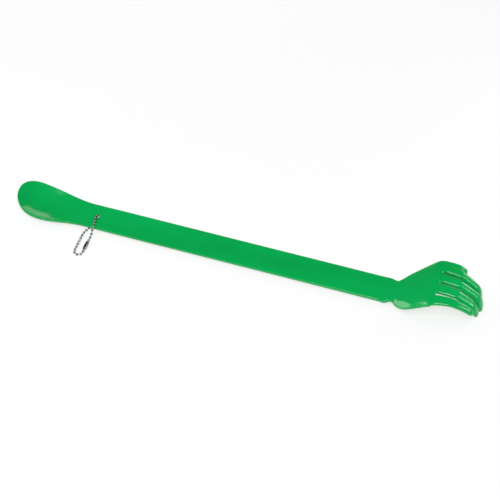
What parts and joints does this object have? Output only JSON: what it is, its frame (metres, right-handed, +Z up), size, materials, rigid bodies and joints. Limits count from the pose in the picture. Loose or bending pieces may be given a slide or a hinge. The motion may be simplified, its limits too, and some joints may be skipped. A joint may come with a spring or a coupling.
{
  "type": "back scratcher",
  "caption": "Moulded plastic back scratcher: a curled claw hand on a flat strip handle, a dished shoehorn blade at the far end, and a ball chain loop for hanging.",
  "frame": {"origin": "on the table, under the middle of the whole part's box", "axes": "+X from the blade's tip to the fingertips, +Y to the thumb's side, +Z up, with the part lying on its blade and fingertips"},
  "size_m": [0.4178, 0.0752, 0.0254],
  "materials": {
    "green_plastic": "glossy moulded",
    "nickel": "nickel plated"
  },
  "bodies": {
    "scratcher": {"scratcher_body": "green_plastic"},
    "chain_head": {"chain_bead_3": "nickel", "chain_bead_4": "nickel", "chain_bead_5": "nickel", "chain_bead_6": "nickel", "chain_bead_7": "nickel", "chain_bead_8": "nickel", "chain_bead_9": "nickel", "chain_bead_10": "nickel", "chain_bead_11": "nickel", "chain_bead_12": "nickel", "chain_bead_13": "nickel", "chain_bead_14": "nickel", "chain_bead_15": "nickel", "chain_bead_16": "nickel", "chain_bead_17": "nickel", "chain_bead_18": "nickel", "chain_link_3": "nickel", "chain_link_4": "nickel", "chain_link_5": "nickel", "chain_link_6": "nickel", "chain_link_7": "nickel", "chain_link_8": "nickel", "chain_link_9": "nickel", "chain_link_10": "nickel", "chain_link_11": "nickel", "chain_link_12": "nickel", "chain_link_13": "nickel", "chain_link_14": "nickel", "chain_link_15": "nickel", "chain_link_16": "nickel", "chain_link_17": "nickel"},
    "chain_row": {"chain_bead_2": "nickel", "chain_bead_19": "nickel", "chain_link_2": "nickel", "chain_link_18": "nickel"},
    "loop_end": {"chain_bead_1": "nickel", "chain_bead_20": "nickel", "chain_bead_21": "nickel", "chain_bead_22": "nickel", "chain_bead_23": "nickel", "chain_bead_24": "nickel", "chain_bead_25": "nickel", "chain_bead_26": "nickel", "chain_bead_27": "nickel", "chain_bead_28": "nickel", "chain_link_1": "nickel", "chain_link_19": "nickel", "chain_link_20": "nickel", "chain_link_21": "nickel", "chain_link_22": "nickel", "chain_link_23": "nickel", "chain_link_24": "nickel", "chain_link_25": "nickel", "chain_link_26": "nickel", "chain_link_27": "nickel", "chain_connector": "nickel"}
  },
  "joints": [
    {"name": "chain_swing", "type": "hinge", "parent": "scratcher", "child": "chain_head", "pos_m": [-0.1356, 0.0062, 0.0047], "axis": [0, 0, 1], "range_deg": [-15, 15]},
    {"name": "row1_lift", "type": "hinge", "parent": "chain_head", "child": "chain_row", "pos_m": [-0.1356, -0.01541, 0.0012], "axis": [-1, 0, 0], "range_deg": [0, 16]},
    {"name": "row2_lift", "type": "hinge", "parent": "chain_row", "child": "loop_end", "pos_m": [-0.1356, -0.01881, 0.0012], "axis": [-1, 0, 0], "range_deg": [0, 16]}
  ],
  "couplings": [
    {"joint": "row1_lift", "follows": "row2_lift", "ratio": 1}
  ]
}
